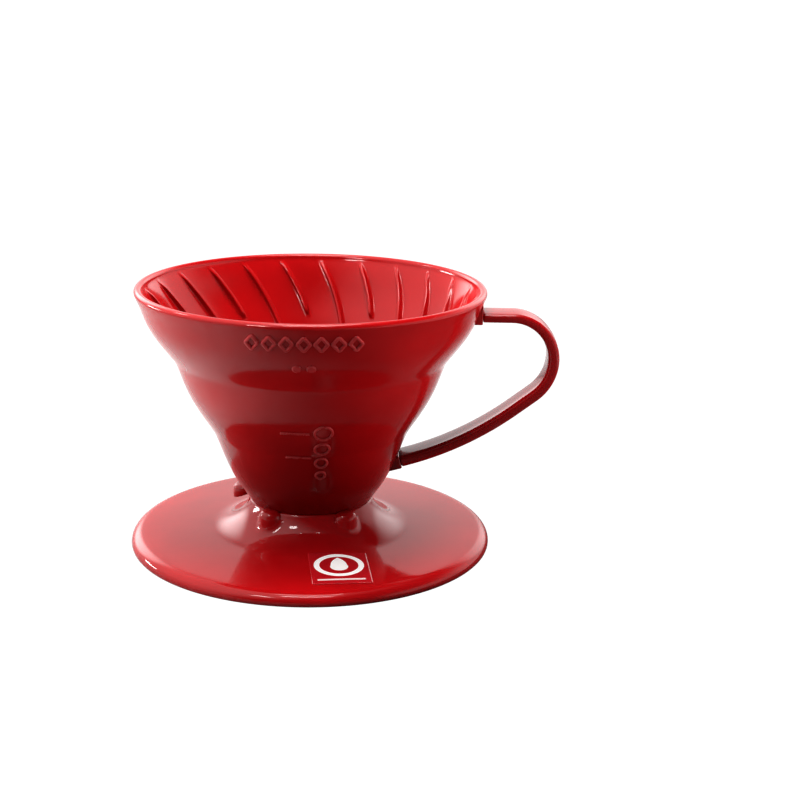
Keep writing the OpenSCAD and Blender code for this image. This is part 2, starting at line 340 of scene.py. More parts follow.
def make_cone():
    top_angles = rib_angles(RIM_R, RIB_TOP)
    count = len(top_angles)
    rings = [level_ring(radius, top_angles, z) for radius, z in cone_outside()]

    shares = np.array(([share for _, share in RIB_SECTION] + [0.0] * FILL) * RIB_COUNT)
    is_long = np.repeat([k % 2 == 0 for k in range(RIB_COUNT)], SECTOR)
    for radius, z in cone_inside():
        height = max(0.0, radius - float(crest_r(max(z, 6.9))))
        start = float(smooth01((RIB_TOP + 0.3 - z) / RIB_START_FADE))
        short_end = float(smooth01((z - SHORT_END) / SHORT_FADE))
        long_end = float(smooth01((z - LONG_END) / LONG_FADE))
        rib = height * start * shares * np.where(is_long, long_end, short_end)
        rings.append(level_ring(radius - rib, rib_angles(max(radius, OUTLET_R), z), z))

    # the rings under the foot turn until they line up with the first ring, whole pitches on
    last = rib_angles(OUTLET_R, LONG_END)
    pitches = int(round((last[0] - top_angles[0]) / RIB_PITCH))
    goal = top_angles + RIB_PITCH * pitches
    foot_radii = [OUTLET_R + 0.5, 11.5, 13.2]
    for i, radius in enumerate(foot_radii):
        t = (i + 1) / (len(foot_radii) + 1)
        rings.append(level_ring(radius, last + (goal - last) * t, SPIGOT_Z))

    faces = grid_faces(len(rings), count)
    start, shift = (len(rings) - 1) * count, pitches * SECTOR
    for j in range(count):
        k = (j + 1) % count
        faces.append((start + j, start + k, (k + shift) % count, (j + shift) % count))
    return add_mesh("cone_body", np.concatenate(rings), faces)


# ---------------------------------------------------------------- base plate
EDGE_H = 3.6
PLATE_FALL_DEG = 3                 # the top face falls outwards
PLATE_FALL = math.radians(PLATE_FALL_DEG)
PLATE_WALL = 2.0
FLARE_R = 12.6                     # concave sweep from the top face up to the hub
FLARE_C = (28.7, EDGE_H + 1 + FLARE_R)
FLAT_START = (FLARE_C[0] - FLARE_R * math.sin(PLATE_FALL),
              FLARE_C[1] - FLARE_R * math.cos(PLATE_FALL))
HUB_R = FLARE_C[0] - math.sqrt(FLARE_R ** 2 - (FLARE_C[1] - HUB_TOP) ** 2)
BORE_R = SPIGOT_R + 0.1
RING_R = 31.0                      # outside of the ring that stands under the plate
EDGE_R, EDGE_FOOT = 3, 0.9         # the rounded rim's width, and the height it starts from
EDGE_LEAN = 0.052                  # lets the rounded rim run out tangent to the falling top
PLATE_SEGMENTS = 288


def plate_top(radius):
    """Height of the plate's top face."""
    radius = np.asarray(radius, float)
    reach = np.minimum(FLARE_C[0] - radius, FLARE_R)
    flare = FLARE_C[1] - np.sqrt(np.maximum(FLARE_R ** 2 - reach ** 2, 0))
    flat = FLAT_START[1] - (radius - FLAT_START[0]) * math.tan(PLATE_FALL)
    return np.where(radius < FLAT_START[0], np.minimum(flare, HUB_TOP), flat)


def plate_upper():
    """Outline (radius, z) up the bore, over the hub and out to the foot of the rim."""
    rim_start = BASE_R - EDGE_R
    rim_z = float(plate_top(rim_start))
    flare_start = math.degrees(math.asin((FLARE_C[1] - HUB_TOP) / FLARE_R))
    points = [(BORE_R + 0.25, 6.0), (BORE_R, 6.3), (BORE_R, 8.5), (BORE_R, HUB_TOP - 0.25),
              (BORE_R + 0.2, HUB_TOP - 0.02), (HUB_R - 0.45, HUB_TOP),
              (HUB_R - 0.12, HUB_TOP - 0.08)]
    points += arc(FLARE_C, FLARE_R, 180 + flare_start + 1.5, 270 - PLATE_FALL_DEG, 26)
    points += [tuple(p) for p in resample([points[-1], (rim_start, rim_z)], 1.6)[1:]]
    # the rim is a quarter of an ellipse
    for i in range(1, 15):
        angle = math.radians(90 - 90 * i / 14)
        out, rise = math.cos(angle), math.sin(angle)
        points.append((rim_start + EDGE_R * out,
                       EDGE_FOOT + (rim_z - EDGE_FOOT) * rise - EDGE_LEAN * EDGE_R * out * rise))
    # foot of the rim: (distance in from BASE_R, z)
    foot = [(0.03, 0.62), (0.14, 0.33), (0.34, 0.1), (0.6, 0.0), (1.4, 0.0), (2.0, 0.0),
            (2.2, 0.07), (2.33, 0.25), (2.4, 0.6)]
    return points + [(BASE_R - inset, z) for inset, z in foot]


def plate_underside():
    """Outline (radius, z) under the plate, round the standing ring and back to the bore."""
    under_z = float(plate_top(BASE_R - EDGE_R)) - PLATE_WALL
    ring_z = float(plate_top(RING_R)) - PLATE_WALL
    under_r = FLARE_R + PLATE_WALL
    under_end = math.degrees(math.asin((FLARE_C[1] - 11) / under_r))
    # (distance in from BASE_R, distance below the underside)
    corner = [(2.5, 0.45), (2.6, 0.2), (2.85, 0.04), (3.3, 0)]
    points = [(BASE_R - inset, under_z - drop) for inset, drop in corner]
    points += [tuple(p) for p in resample([points[-1], (RING_R + 0.5, ring_z)], 1.6)[1:]]
    # standing ring: (distance in from RING_R, z)
    ring = [(-0.15, ring_z - 0.1), (0, ring_z - 0.35), (0, 1.2), (0, 0.25), (0.07, 0.07),
            (0.25, 0.0), (1.0, 0.0), (1.35, 0.1), (1.6, 0.45), (1.65, 1.2),
            (1.68, ring_z - 0.3), (1.85, ring_z - 0.05), (2.2, ring_z + 0.05)]
    points += [(RING_R - inset, z) for inset, z in ring]
    points += arc(FLARE_C, under_r, 270 - PLATE_FALL_DEG, 180 + under_end, 22)
    # outside of the hub's wall: (distance out from BORE_R, z)
    hub = [(1.85, 10.4), (1.75, 9.5), (1.7, 8.0), (1.7, 6.3), (1.55, 6.05), (1.3, 6.0),
           (0.6, 6.0)]
    return points + [(BORE_R + out, z) for out, z in hub]


BOSS_AZIMUTHS = (-35.5, 35.5, 144.5)   # degrees from the front (-Y), towards the handle (+X)
BOSS_PLACE_R = 17.2
BOSS_R, BOSS_TOP, BOSS_DOME, BOSS_FILLET = 3.3, 13.3, 2.3, 1.5
BOSS_SEGMENTS = 96
SEAT_SINK = 0.15                       # how far posts and tongue stay below the hub's top


def boss_mesh(azimuth):
    """A domed post that runs into the flare with a concave fillet, and reaches into the plate."""
    cx = BOSS_PLACE_R * math.sin(math.radians(azimuth))
    cy = -BOSS_PLACE_R * math.cos(math.radians(azimuth))
    around = np.arange(BOSS_SEGMENTS) * TAU / BOSS_SEGMENTS

    def ring(radius, z):
        return np.stack([cx + radius * np.cos(around), cy + radius * np.sin(around),
                         np.full(BOSS_SEGMENTS, z)], 1)

    def floor(radius, sink=0.0):
        x, y, _ = ring(radius, 0.0).T
        return plate_top(np.clip(np.hypot(x, y), HUB_R + 0.2, 60)) - sink

    def height_limit(axis_distance):
        """Keeps the post under the cone's seat; the limit rises quickly outside the hub."""
        return HUB_TOP - SEAT_SINK + 5 * smooth01((axis_distance - HUB_R - 0.1) / 0.9)

    wall_top = BOSS_TOP - BOSS_DOME
    rings = [ring(BOSS_R - 0.4, np.minimum(floor(BOSS_R), 9.0) - 1.2),
             ring(BOSS_R + BOSS_FILLET, floor(BOSS_R + BOSS_FILLET, sink=0.25))]
    for angle in np.radians(np.linspace(0, 90, 12)):
        radius = BOSS_R + BOSS_FILLET * (1 - math.sin(angle))
        z = floor(radius, sink=0.02) + BOSS_FILLET * (1 - math.cos(angle)) * 0.9
        rings.append(ring(radius, np.minimum(z, wall_top)))
    low = rings[-1][:, 2]
    rings += [ring(BOSS_R, low + (wall_top - low) * t) for t in (0.35, 0.7, 1.0)]
    for angle in np.radians(np.linspace(0, 90, 13)[1:]):
        radius = BOSS_R - BOSS_DOME + BOSS_DOME * math.cos(angle)
        rings.append(ring(radius, wall_top + BOSS_DOME * math.sin(angle)))
    rings += [ring(radius, BOSS_TOP) for radius in (0.7, 0.35)]

    points = np.concatenate(rings)
    distance = np.hypot(points[:, 0], points[:, 1])
    points[:, 2] = np.minimum(points[:, 2], height_limit(distance))
    # points that would reach into the bore are pushed out of it
    nearest = BORE_R + 0.5
    push = np.where(distance < nearest, nearest / np.maximum(distance, 1e-6), 1.0)
    points[:, :2] *= push[:, None]
    top_z = min(BOSS_TOP, float(height_limit(BOSS_PLACE_R)))
    return fan_shell(points, BOSS_SEGMENTS, (cx, cy, top_z), (cx, cy, rings[0][:, 2].mean()))


LUG_R, LUG_ANGLE = 20.5, math.radians(160)   # centre of its round end; angle from +X
LUG_TIP = LUG_R + BOSS_R
LUG_ROOT_X, LUG_NECK_X, LUG_HALF_W = 15.6, 18.3, 2.6
LUG_CENTRE = np.array([20.0, 0.0])           # the outline shrinks towards this point
LUG_EDGE_LOW, LUG_EDGE_TOP = 0.5, 1.3        # edge radii


def lug_mesh():
    """A rounded tongue out of the hub's top on the left, with a sloping underside."""
    sweep = math.radians(128)
    outline = [(LUG_ROOT_X, -LUG_HALF_W), (LUG_NECK_X, -LUG_HALF_W)]
    outline += [(LUG_R + BOSS_R * math.cos(angle), BOSS_R * math.sin(angle))
                for angle in np.linspace(-sweep, sweep, 40)]
    outline += [(LUG_NECK_X, LUG_HALF_W), (LUG_ROOT_X, LUG_HALF_W)]
    outline = np.array(resample(outline + [outline[0]], 0.5)[:-1])
    away = outline - LUG_CENTRE
    length = np.linalg.norm(away, axis=1)[:, None]

    def underside(x):
        return 9.0 + (LUG_TIP - x) * 0.37

    def top(x):
        k = smooth01((x - 17.1) / 1.0)
        return (HUB_TOP - 0.1) * (1 - k) + BOSS_TOP * k

    def ring(inset, surface, lift):
        x, y = (LUG_CENTRE + away * (1 - inset / length)).T
        c, s = math.cos(LUG_ANGLE), math.sin(LUG_ANGLE)
        return np.stack([x * c - y * s, x * s + y * c, surface(x) + lift], 1)

    rings = [ring(1.9, underside, 0.0), ring(1.0, underside, 0.0)]
    for angle in np.radians(np.linspace(90, 0, 6)):
        rings.append(ring(LUG_EDGE_LOW * (1 - math.cos(angle)), underside,
                          LUG_EDGE_LOW * (1 - math.sin(angle))))
    for angle in np.radians(np.linspace(0, 90, 9)):
        rings.append(ring(LUG_EDGE_TOP * (1 - math.cos(angle)), top,
                          -LUG_EDGE_TOP * (1 - math.sin(angle))))
    rings.append(ring(2.0, top, 0.0))
    return fan_shell(np.concatenate(rings), len(outline), rings[-1].mean(0), rings[0].mean(0))


def make_plate():
    parts = [revolve(plate_upper() + plate_underside(), PLATE_SEGMENTS)]
    parts += [boss_mesh(azimuth) for azimuth in BOSS_AZIMUTHS]
    parts.append(lug_mesh())
    return add_mesh("base_plate", *join(parts))


# ---------------------------------------------------------------- handle
STRAP_W = (STRAP_HI.y - STRAP_LO.y) / MM
STRAP_T, STRAP_T_LOW = 2.7, 3.35       # thickness of the top run, and of the part below the bend
STRAP_REACH = STRAP_HI.x / MM - STRAP_T_LOW / 2
STRAP_Z = 65.2                         # middle of the top run
STRAP_CROWN = 0.17                     # how much lower the broad faces are at their edges
BEND_HI_R, BEND_LO_R = 11.4, 12.9
RUN_ANGLE, RUN_LEN = math.radians(37.5), 6.8     # straight run back towards the cone
TAIL_R, TAIL_SWEEP = 89.0, math.radians(22.1)    # slow curve to the lower block
BLOCK_X, SEAM = 46.4, 0.1              # face of the top block, and the gap to the strap
STRAP_END = [(0.0, 0.28), (0.08, 0.1), (0.3, 0.0)]   # distance from the end, inset of the section


def strap_path():
    """Middle line of the strap as (x, z, angle of the outward normal)."""
    def bend(cx, cz, radius, start, end, count):
        return [(cx + radius * math.cos(angle), cz + radius * math.sin(angle), angle)
                for angle in np.linspace(start, end, count)]

    run_normal = RUN_ANGLE - QUARTER
    bend_z = STRAP_Z - BEND_HI_R
    bend_x = STRAP_REACH - BEND_HI_R
    path = [(x, STRAP_Z, QUARTER) for x in np.linspace(BLOCK_X + SEAM, bend_x, 14)[:-1]]
    path += bend(bend_x, bend_z, BEND_HI_R, QUARTER, 0, 30)
    path += bend(STRAP_REACH - BEND_LO_R, bend_z, BEND_LO_R, 0, run_normal, 24)[1:]
    x, z, _ = path[-1]
    path += [(x - math.cos(RUN_ANGLE) * t, z - math.sin(RUN_ANGLE) * t, run_normal)
             for t in np.linspace(0, RUN_LEN, 8)[1:]]
    x, z, _ = path[-1]
    path += bend(x - TAIL_R * math.sin(RUN_ANGLE), z + TAIL_R * math.cos(RUN_ANGLE), TAIL_R,
                 run_normal, run_normal - TAIL_SWEEP, 36)[1:]
    return path


def strap_outline():
    """Section of the strap as (across, through), with extra points so the faces can crown."""
    half_w, half_t = STRAP_W / 2, STRAP_T / 2
    corners = [(-half_w, -half_t), (half_w, -half_t), (half_w, half_t), (-half_w, half_t)]
    rounded = round_outline(corners, [1.15, 1.15, 0.95, 0.95], steps=8)
    outline = []
    for start, end in zip(rounded, rounded[1:] + rounded[:1]):
        pieces = max(1, int(np.linalg.norm(end - start) / 0.9))
        outline += [start + (end - start) * j / pieces for j in range(pieces)]
    outline = np.array(outline)
    outline[:, 1] *= 1 - STRAP_CROWN / half_t * (outline[:, 0] / half_w) ** 2
    return outline


def make_handle():
    across, through = strap_outline().T

    def section(x, z, angle, inset=0.0):
        grow = 1 + (STRAP_T_LOW / STRAP_T - 1) * min(1.0, (QUARTER - angle) / QUARTER)
        side = across - np.sign(across) * np.minimum(np.abs(across), inset)
        out = through * grow - np.sign(through) * np.minimum(np.abs(through), inset)
        return np.stack([x + out * math.cos(angle), side, z + out * math.sin(angle)], 1)

    path = strap_path()
    x, z, angle = path[0]
    rings = [section(x + back, z, angle, inset) for back, inset in STRAP_END]
    rings += [section(*station) for station in path[1:-1]]
    x, z, angle = path[-1]
    rings += [section(x - math.sin(angle) * back, z + math.cos(angle) * back, angle, inset)
              for back, inset in reversed(STRAP_END)]
    cols = len(across)
    faces = grid_faces(len(rings), cols)
    faces += [cap[::-1] for cap in end_caps(len(rings), cols)]
    return add_mesh("handle", np.concatenate(rings), faces)


# ---------------------------------------------------------------- blocks between cone and strap
BLOCK_HALF_W, BLOCK_EDGE = 4.9, 0.42
BLOCK_BITE = 1.3                       # how far the blocks reach into the cone's wall
TOP_BLOCK_Z, TOP_BLOCK_STEPS = (63.4, 70.6), 6
LOW_BLOCK_T, LOW_BLOCK_STEPS = 3.6, 4


def block(name, rungs):
    """A closed block; rungs are (inner, outer) points in the XZ plane, from one side to the other."""
    count = len(rungs)
    corners = [inner for inner, _ in rungs] + [outer for _, outer in rungs[::-1]]
    radii = [0.0] * (2 * count)
    radii[count] = radii[-1] = BLOCK_EDGE
    outline = np.array(round_outline(corners, radii, steps=6))
    tangent = np.roll(outline, -1, 0) - np.roll(outline, 1, 0)
    tangent /= np.linalg.norm(tangent, axis=1)[:, None]
    normal = np.stack([tangent[:, 1], -tangent[:, 0]], 1)
    if ((outline - outline.mean(0)) * normal).sum() < 0:
        normal = -normal
    # the outline shrinks towards each side face, which rounds the side edges
    steps = [(BLOCK_EDGE * (1 - math.cos(angle)), BLOCK_HALF_W - BLOCK_EDGE * (1 - math.sin(angle)))
             for angle in np.linspace(QUARTER, 0, 7)]
    rings = []
    for inset, y in [(inset, -y) for inset, y in steps] + steps[::-1]:
        flat = outline - normal * inset
        rings.append(np.stack([flat[:, 0], np.full(len(flat), y), flat[:, 1]], 1))
    faces = grid_faces(len(rings), len(outline)) + end_caps(len(rings), len(outline))
    return add_mesh(name, np.concatenate(rings), faces)


def make_top_block():
    low, high = TOP_BLOCK_Z
    heights = [low + (high - low) * k / TOP_BLOCK_STEPS for k in range(TOP_BLOCK_STEPS + 1)]
    return block("handle_block_top",
                 [((float(outer_r(z)) - BLOCK_BITE, z), (BLOCK_X, z)) for z in heights])


def make_low_block():
    """The block at the strap's lower end; each rung runs on inwards until it is in the wall."""
    x, z, angle = strap_path()[-1]
    along_x, along_z = math.sin(angle), -math.cos(angle)
    rungs = []
    for k in range(LOW_BLOCK_STEPS + 1):
        offset = LOW_BLOCK_T / 2 - LOW_BLOCK_T * k / LOW_BLOCK_STEPS
        outer = (x + along_x * SEAM + math.cos(angle) * offset,
                 z + along_z * SEAM + math.sin(angle) * offset)
        depth = 0.3
        inner = (outer[0] + along_x * depth, outer[1] + along_z * depth)
        while inner[0] > float(outer_r(inner[1])) - BLOCK_BITE and depth < 6:
            depth += 0.1
            inner = (outer[0] + along_x * depth, outer[1] + along_z * depth)
        rungs.append((inner, outer))
    return block("handle_block_low", rungs)


# ---------------------------------------------------------------- relief marks on the cone's front
# an origin is (azimuth in degrees from the front towards +X, height)
BAND_ORIGIN, DOT_ORIGIN, RING_ORIGIN = (1.0, 67.4), (1.0, 60.4), (9.0, 40.5)
MARK_ROOT = -0.25                      # marks start this far inside the wall
SLOPE_RISE = 0.88                      # height gained per mm up the wall's slope


def on_wall(u, v, origin, lift):
    """A point u mm round the wall and v mm up its slope from the origin, lifted off the wall."""
    azimuth, height = origin
    z = height + v * SLOPE_RISE
    radius = outer_r(z)
    slope = (outer_r(z + 0.4) - outer_r(z - 0.4)) / 0.8
    length = np.sqrt(1 + slope * slope)
    raised = radius + lift / length
    angle = math.radians(azimuth) + u / radius
    return np.stack([raised * np.sin(angle), -raised * np.cos(angle), z - lift * slope / length], -1)


def relief_strip(path, width, origin, height, closed=False):
    """A raised line with rounded shoulders along a path of (u, v) points."""
    path = np.array(path, float)
    if closed:
        tangent = np.roll(path, -1, 0) - np.roll(path, 1, 0)
    else:
        tangent = np.gradient(path, axis=0)
    tangent /= np.linalg.norm(tangent, axis=1)[:, None]
    side = np.stack([-tangent[:, 1], tangent[:, 0]], 1)
    half = width / 2
    right = [(half * 0.4, height), (half * 0.8, height * 0.8), (half, height * 0.35),
             (half, MARK_ROOT)]
    section = [(-offset, lift) for offset, lift in right[::-1]] + right
    columns = []
    for offset, lift in section:
        u, v = (path + side * offset).T
        columns.append(on_wall(u, v, origin, lift))
    faces = grid_faces(len(path), len(section), wrap_rows=closed)
    if not closed:
        faces += end_caps(len(path), len(section))
    return np.stack(columns, 1).reshape(-1, 3), faces


def relief_disc(u, radius, origin, height):
    segments = 36
    around = np.arange(segments) * TAU / segments
    # share of the radius, lift
    profile = [(1, MARK_ROOT), (1, height * 0.35), (0.85, height * 0.85), (0.6, height),
               (0.25, height)]
    rings = [on_wall(u + radius * share * np.cos(around), radius * share * np.sin(around),
                     origin, lift) for share, lift in profile]
    return fan_shell(np.concatenate(rings), segments,
                     on_wall(u, 0.0, origin, height), on_wall(u, 0.0, origin, MARK_ROOT))


def lozenge(u):
    corners = [(u - 1.6, 0), (u, -2.2), (u + 1.6, 0), (u, 2.2)]
    path = resample(round_outline(corners, [0.35] * 4, steps=3), 0.4)
    return relief_strip(path, 0.95, BAND_ORIGIN, height=0.5, closed=True)


def circle(v, radius):
    around = np.arange(40) * TAU / 40
    path = np.stack([radius * np.cos(around), v + radius * np.sin(around)], 1)
    return relief_strip(path, 0.7, RING_ORIGIN, height=0.45, closed=True)


def tick(start, end, count, width_origin):
    return relief_strip([(u, 0) for u in np.linspace(start, end, count)], 0.6, width_origin,
                        height=0.38)


def make_marks():
    """Lozenges under the rim, two dots below, a column of rings, and two level ticks to its left."""
    marks = {
        "relief_band": [lozenge((i - 3) * 4.3) for i in range(7)],
        "relief_dots": [relief_disc(u, 1.2, DOT_ORIGIN, height=0.42) for u in (-1.9, 1.7)],
        "relief_rings": [circle(v, radius) for v, radius in
                         ((0.0, 2.3), (-6.0, 1.9), (-11.2, 1.55), (-15.6, 1.2))],
        "relief_ticks": [tick(-6.2, 1.4, 20, (0.0, 40.3)), tick(-5.1, 1.6, 18, (0.0, 32.3))],
    }
    return [add_mesh(name, *join(parts)) for name, parts in marks.items()]


# ---------------------------------------------------------------- label
LABEL_CENTRE, LABEL_ANGLE = (9.5, -33.5), math.radians(7.5)
LABEL_W, LABEL_D, LABEL_CORNER = 15.6, 18.4, 0.35
LABEL_LIFTS = (0.02, 0.14)             # lower and upper face above the plate
LABEL_GRID = 48


def label_point(u, v):
    """A point of the label's own plane, from u and v between -1 and 1, with rounded corners."""
    straight_x, straight_y = LABEL_W / 2 - LABEL_CORNER, LABEL_D / 2 - LABEL_CORNER
    x, y = u * LABEL_W / 2, v * LABEL_D / 2
    over_x, over_y = abs(x) - straight_x, abs(y) - straight_y
    if over_x > 0 and over_y > 0:
        draw_in = max(over_x, over_y) / math.hypot(over_x, over_y)
        x = math.copysign(straight_x + over_x * draw_in, x)
        y = math.copysign(straight_y + over_y * draw_in, y)
    return x, y


def make_label():
    """A thin film that follows the plate's top; its UV map "mm" holds its own plane in mm."""
    n = LABEL_GRID
    c, s = math.cos(LABEL_ANGLE), math.sin(LABEL_ANGLE)
    steps = np.linspace(-1, 1, n)
    flat = [label_point(u, v) for v in steps for u in steps]
    points = []
    for lift in LABEL_LIFTS:
        for x, y in flat:
            px, py = LABEL_CENTRE[0] + x * c - y * s, LABEL_CENTRE[1] + x * s + y * c
            points.append((px, py, float(plate_top(math.hypot(px, py))) + lift))
    faces = grid_faces(n, n, wrap_cols=False) + grid_faces(n, n, wrap_cols=False, start=n * n)
    border = list(range(n)) + [i * n + n - 1 for i in range(1, n)]
    border += [(n - 1) * n + j for j in range(n - 2, -1, -1)] + [i * n for i in range(n - 2, 0, -1)]
    for i, j in zip(border, border[1:] + border[:1]):
        faces.append((i, j, j + n * n, i + n * n))
    obj = add_mesh("label", points, faces)
    layer = obj.data.uv_layers.new(name="mm")
    for loop in obj.data.loops:
        layer.data[loop.index].uv = flat[loop.vertex_index % (n * n)]
    return obj


# ---------------------------------------------------------------- shader helpers
BLACK, WHITE = (0, 0, 0), (1, 1, 1)


class Shader:
    """Short calls that build one node tree. An input is given a number or another node's output."""

    def __init__(self, owner):
        owner.use_nodes = True
        self.tree = owner.node_tree
        self.tree.nodes.clear()

    def node(self, kind, inputs=None, **settings):
        made = self.tree.nodes.new("ShaderNode" + kind)
        for key, value in settings.items():
            setattr(made, key, value)
        for key, value in (inputs or {}).items():
            self.feed(made.inputs[key], value)
        return made

    def feed(self, socket, value):
        if isinstance(value, bpy.types.NodeSocket):
            self.tree.links.new(value, socket)
        else:
            socket.default_value = value

    def maths(self, operation, *values, clamp=False):
        return self.node("Math", dict(enumerate(values)), operation=operation,
                         use_clamp=clamp).outputs[0]

    def add(self, a, b, clamp=False):
        return self.maths("ADD", a, b, clamp=clamp)

    def multiply(self, a, b):
        return self.maths("MULTIPLY", a, b)

    def maximum(self, a, b):
        return self.maths("MAXIMUM", a, b)

    def one_minus(self, value):
        return self.maths("SUBTRACT", 1.0, value)

    def dot(self, xyz, weights):
        x, y, z = (self.multiply(value, weight) for value, weight in zip(xyz, weights))
        return self.add(x, self.add(y, z))

    def xyz(self, vector):
        return self.node("SeparateXYZ", {0: vector}).outputs

    def map_range(self, value, source=(0.0, 1.0), target=(0.0, 1.0)):
        inputs = dict(enumerate((value, *source, *target)))
        return self.node("MapRange", inputs).outputs[0]

    def step(self, value, source, target=(0.0, 1.0)):
        """Eased change from target[0] to target[1] while value crosses source."""
        inputs = dict(enumerate((value, *source, *target)))
        return self.node("MapRange", inputs, interpolation_type="SMOOTHSTEP").outputs[0]

    def ramp(self, value, low, high):
        """Colour ramp between two (position, colour) stops."""
        made = self.node("ValToRGB", {0: value})
        for element, (position, colour) in zip(made.color_ramp.elements, (low, high)):
            element.position = position
            element.color = (*colour, 1)
        return made.outputs[0]

    def noise(self, vector, output="Fac", **inputs):
        """Noise texture; inputs are its scale, detail and roughness."""
        values = {key.capitalize(): value for key, value in inputs.items()}
        return self.node("TexNoise", {"Vector": vector, **values}).outputs[output]

    def scale(self, vector, factor):
        return self.node("VectorMath", {0: vector, "Scale": factor}, operation="SCALE").outputs[0]

    def mix(self, factor, a, b):
        inputs = {"Factor": factor, "A": a, "B": b}
        return self.node("Mix", inputs, data_type="RGBA").outputs["Result"]

    def bump(self, height, strength, distance, normal=None, invert=False):
        inputs = {"Height": height, "Strength": strength, "Distance": distance}
        if normal is not None:
            inputs["Normal"] = normal
        return self.node("Bump", inputs, invert=invert).outputs[0]


# ---------------------------------------------------------------- red plastic
EDGE_LIGHT_TINT = 0.35        # how far convex edges go to the paler colour, a painted glow of light showing through thin edges
DULL_RAY_LOSS = 0.35       # colour lost in light that has already been reflected dull
SCUFF_ROUGH, EDGE_ROUGH, GLOSSY_RAY_ROUGH = 0.10, 0.12, 0.35    # added roughness
PAINTED_SHADE_Z = (0.010, 0.052)    # metres: heights between which the painted shade, a darker colour low down for the weaker light there, fades out


def lit_edge_mask(sh, pos):
    """Mask of convex edges, broken up by noise, where the colour is painted paler and the surface
    made rougher.
    """
    pointiness = sh.node("NewGeometry").outputs["Pointiness"]
    edge = sh.ramp(pointiness, low=(0.515, BLACK), high=(0.60, WHITE))
    edge_breakup = sh.noise(pos, scale=420.0, detail=4.0, roughness=0.6)
    return sh.multiply(edge, sh.ramp(edge_breakup, low=(0.35, BLACK), high=(0.62, WHITE)))


def hairline_scuffs(sh, pos):
    """Mask of thin stretched lines that show in patches."""
    stretched = sh.node("Mapping", {"Vector": pos, "Scale": (1.0, 1.0, 0.16),
                                    "Rotation": (0.5, 0.3, 0.9)}).outputs[0]
    warp = sh.noise(stretched, output="Color", scale=60.0, detail=2.0)
    warped = sh.node("VectorMath", {0: warp, 1: (0.01, 0.01, 0.01), 2: stretched},
                     operation="MULTIPLY_ADD").outputs[0]
    cells = sh.node("TexVoronoi", {"Vector": warped, "Scale": 330.0},
                    feature="DISTANCE_TO_EDGE")
    line = sh.ramp(cells.outputs["Distance"], low=(0.0, WHITE), high=(0.035, BLACK))
    patch = sh.noise(pos, scale=90.0, detail=2.0)
    return sh.multiply(line, sh.ramp(patch, low=(0.52, BLACK), high=(0.68, WHITE)))


def red_plastic(name, base, rough, ripple, shade=0.0):
    """Glossy moulded plastic. ripple is the strength of the moulding's waves, and shade the share of
    the colour that is lost low down, a painted shade for the weaker light there."""
    material = bpy.data.materials.new(name)
    sh = Shader(material)
    pos = sh.node("TexCoord").outputs["Object"]
    rays = sh.node("LightPath").outputs
    lit_edges = lit_edge_mask(sh, pos)
    scuffs = hairline_scuffs(sh, pos)
    red, green, blue = base

    dark = tuple(c * 0.86 for c in base)
    light = (min(1, red * 1.1), green * 1.25 + 0.001, blue * 1.2 + 0.001)
    paler = (min(1, red * 1.25 + 0.02), green * 2.5 + 0.02, blue * 2.2 + 0.02, 1)
    drift = sh.noise(pos, scale=38.0, detail=3.0, roughness=0.5)
    colour = sh.ramp(drift, low=(0.3, dark), high=(0.7, light))
    # painted light: convex edges go paler, like thin plastic with light showing through
    colour = sh.mix(sh.multiply(lit_edges, EDGE_LIGHT_TINT), colour, paler)
    # painted shade: the colour darkens towards the bottom, standing in for the weaker light low down
    colour = sh.scale(colour, sh.step(sh.xyz(pos)[2], source=PAINTED_SHADE_Z, target=(1.0 - shade, 1.0)))
    colour = sh.scale(colour, sh.one_minus(sh.multiply(rays["Is Diffuse Ray"], DULL_RAY_LOSS)))

    haze = sh.noise(pos, scale=160.0, detail=5.0, roughness=0.6)
    roughness = sh.map_range(haze, target=(rough * 0.8, rough * 1.3))
    roughness = sh.add(roughness, sh.multiply(scuffs, SCUFF_ROUGH))
    roughness = sh.add(roughness, sh.multiply(lit_edges, EDGE_ROUGH), clamp=True)
    # reflections of reflections are soft
    glossy = sh.multiply(rays["Is Glossy Ray"], GLOSSY_RAY_ROUGH)
    roughness = sh.add(roughness, glossy, clamp=True)

    # bump distances are in metres
    broad = sh.noise(pos, scale=62.0, detail=1.0)
    fine = sh.noise(pos, scale=300.0, detail=2.0, roughness=0.4)
    normal = sh.bump(broad, strength=ripple, distance=0.0006)
    normal = sh.bump(fine, strength=ripple * 0.5, distance=0.00008, normal=normal)
    normal = sh.bump(scuffs, strength=0.25, distance=0.00002, normal=normal, invert=True)

    plastic = sh.node("BsdfPrincipled", {"Base Color": colour, "Roughness": roughness,
                                         "Normal": normal, "IOR": 1.5})
    sh.node("OutputMaterial", {0: plastic.outputs[0]})
    return material


# ---------------------------------------------------------------- label print
# the print, in mm from the label's centre
PRINT_X, PRINT_Y = -0.1, 1.75          # centre of the pale ring
PRINT_RING_R = (6.6, 5.15)             # outer, inner
DROP_BELLY_R, DROP_BELLY_DOWN = 2.35, 0.9
DROP_ARC_R, DROP_ARC_OUT, DROP_ARC_DOWN = 6.05, 3.9, 0.1   # the two arcs that make its tip
DROP_TIP_DOWN = 0.5                    # the tip starts this far below the ring's centre
BAR_Y, BAR_X, BAR_HALF_H, BAR_HALF_W = 6.8, 0.1, 0.42, 6.2  # y and x are below and left of centre
BAR_INK = 0.7
PRINT_STRETCH = 1.0                    # scale of the round shapes along both axes
INK_GLOW = 0.3                         # emission of the white ink, seen by the camera only
INK_ROUGH = 0.06
PRINT_GLOSSY_LOSS = 0.8                # colour lost when seen in a reflection


